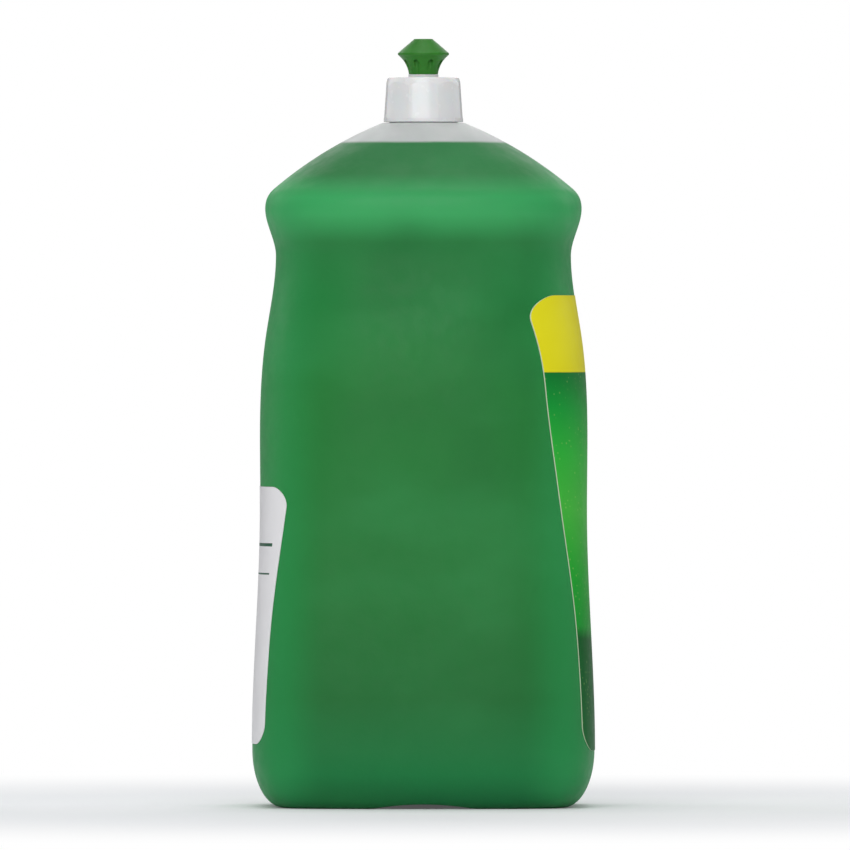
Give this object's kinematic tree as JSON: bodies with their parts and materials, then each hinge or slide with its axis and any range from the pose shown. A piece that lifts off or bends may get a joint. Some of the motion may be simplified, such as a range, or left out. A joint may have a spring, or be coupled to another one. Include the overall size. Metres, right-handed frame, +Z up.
{
  "type": "dish soap bottle",
  "caption": "Large oval refill bottle of dish soap with a drawn-in waist, two wrap labels, a ridged screw cap and a push-pull spout.",
  "frame": {"origin": "on the neck axis at the plane the bottle stands on", "axes": "+Z up along the neck axis; the front label faces -Y and the back label +Y; X runs side to side"},
  "size_m": [0.11, 0.1296, 0.29],
  "materials": {
    "bottle_plastic": "satin translucent blown plastic",
    "green_soap": "clear green liquid",
    "white_plastic": "glossy white moulded plastic",
    "liner_foam": "matt closed-cell liner",
    "green_plastic": "satin green moulded plastic",
    "front_print": "printed glossy film",
    "back_print": "printed glossy white film"
  },
  "bodies": {
    "bottle_body": {"bottle": "bottle_plastic", "dish_soap": "green_soap", "front_label": "front_print", "back_label": "back_print"},
    "liner_body": {"cap_liner": "liner_foam"},
    "cap_body": {"screw_cap": "white_plastic"},
    "spout_body": {"pull_spout": "green_plastic"}
  },
  "joints": [
    {"name": "cap_rise", "type": "slide", "parent": "bottle_body", "child": "liner_body", "axis": [0, 0, 1], "range_m": [0, 0.0053]},
    {"name": "cap_turn", "type": "hinge", "parent": "liner_body", "child": "cap_body", "pos_m": [0, 0, 0.2727], "axis": [0, 0, 1], "range_deg": [0, 450]},
    {"name": "spout_pull", "type": "slide", "parent": "cap_body", "child": "spout_body", "axis": [0, 0, 1], "range_m": [0, 0.0045]}
  ],
  "couplings": [
    {"joint": "cap_rise", "follows": "cap_turn", "m_per_rad": 0.00067376}
  ]
}
